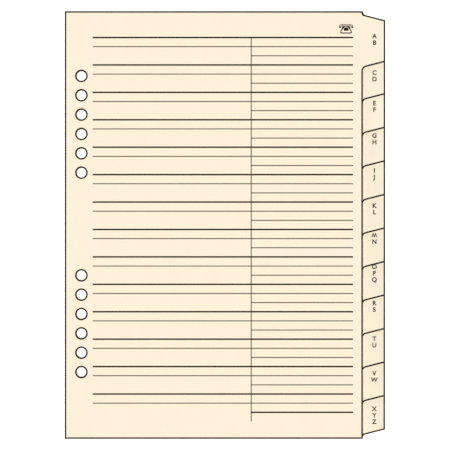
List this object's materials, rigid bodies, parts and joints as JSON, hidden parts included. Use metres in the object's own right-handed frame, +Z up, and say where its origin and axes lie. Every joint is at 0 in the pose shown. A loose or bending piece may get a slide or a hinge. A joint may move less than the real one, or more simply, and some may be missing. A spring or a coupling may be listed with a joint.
{
  "type": "tabbed address leaves for a ring binder",
  "caption": "Pack of loose card leaves with stepped A to Z index tabs and ring holes, ruled for addresses and telephone numbers, each turning about a binder's rings.",
  "frame": {"origin": "centre of the pack's footprint, on the surface that the pack lies on", "axes": "+X from the ring holes to the index tabs, +Y to the head of the page, +Z up out of the printed face of the top leaf"},
  "size_m": [0.1574, 0.21, 0.0063],
  "materials": {
    "cream_card": "matte",
    "black_print": "matte"
  },
  "bodies": {
    "leaf_x_to_z": {"leaf_x_to_z": "cream_card"},
    "leaf_v_to_w": {"leaf_v_to_w": "cream_card"},
    "leaf_t_to_u": {"leaf_t_to_u": "cream_card"},
    "leaf_r_to_s": {"leaf_r_to_s": "cream_card"},
    "leaf_o_to_q": {"leaf_o_to_q": "cream_card"},
    "leaf_m_to_n": {"leaf_m_to_n": "cream_card"},
    "leaf_k_to_l": {"leaf_k_to_l": "cream_card"},
    "leaf_i_to_j": {"leaf_i_to_j": "cream_card"},
    "leaf_g_to_h": {"leaf_g_to_h": "cream_card"},
    "leaf_e_to_f": {"leaf_e_to_f": "cream_card"},
    "leaf_c_to_d": {"leaf_c_to_d": "cream_card"},
    "leaf_a_to_b": {"leaf_a_to_b": "cream_card"}
  },
  "joints": [
    {"name": "turn_leaf_v_to_w", "type": "hinge", "parent": "leaf_x_to_z", "child": "leaf_v_to_w", "pos_m": [-0.083, 0, 0.00315], "axis": [0, -1, 0], "range_deg": [0, 180]},
    {"name": "turn_leaf_t_to_u", "type": "hinge", "parent": "leaf_v_to_w", "child": "leaf_t_to_u", "pos_m": [-0.083, 0, 0.00315], "axis": [0, -1, 0], "range_deg": [0, 180]},
    {"name": "turn_leaf_r_to_s", "type": "hinge", "parent": "leaf_t_to_u", "child": "leaf_r_to_s", "pos_m": [-0.083, 0, 0.00315], "axis": [0, -1, 0], "range_deg": [0, 180]},
    {"name": "turn_leaf_o_to_q", "type": "hinge", "parent": "leaf_r_to_s", "child": "leaf_o_to_q", "pos_m": [-0.083, 0, 0.00315], "axis": [0, -1, 0], "range_deg": [0, 180]},
    {"name": "turn_leaf_m_to_n", "type": "hinge", "parent": "leaf_o_to_q", "child": "leaf_m_to_n", "pos_m": [-0.083, 0, 0.00315], "axis": [0, -1, 0], "range_deg": [0, 180]},
    {"name": "turn_leaf_k_to_l", "type": "hinge", "parent": "leaf_m_to_n", "child": "leaf_k_to_l", "pos_m": [-0.083, 0, 0.00315], "axis": [0, -1, 0], "range_deg": [0, 180]},
    {"name": "turn_leaf_i_to_j", "type": "hinge", "parent": "leaf_k_to_l", "child": "leaf_i_to_j", "pos_m": [-0.083, 0, 0.00315], "axis": [0, -1, 0], "range_deg": [0, 180]},
    {"name": "turn_leaf_g_to_h", "type": "hinge", "parent": "leaf_i_to_j", "child": "leaf_g_to_h", "pos_m": [-0.083, 0, 0.00315], "axis": [0, -1, 0], "range_deg": [0, 180]},
    {"name": "turn_leaf_e_to_f", "type": "hinge", "parent": "leaf_g_to_h", "child": "leaf_e_to_f", "pos_m": [-0.083, 0, 0.00315], "axis": [0, -1, 0], "range_deg": [0, 180]},
    {"name": "turn_leaf_c_to_d", "type": "hinge", "parent": "leaf_e_to_f", "child": "leaf_c_to_d", "pos_m": [-0.083, 0, 0.00315], "axis": [0, -1, 0], "range_deg": [0, 180]},
    {"name": "turn_leaf_a_to_b", "type": "hinge", "parent": "leaf_c_to_d", "child": "leaf_a_to_b", "pos_m": [-0.083, 0, 0.00315], "axis": [0, -1, 0], "range_deg": [0, 180]}
  ]
}
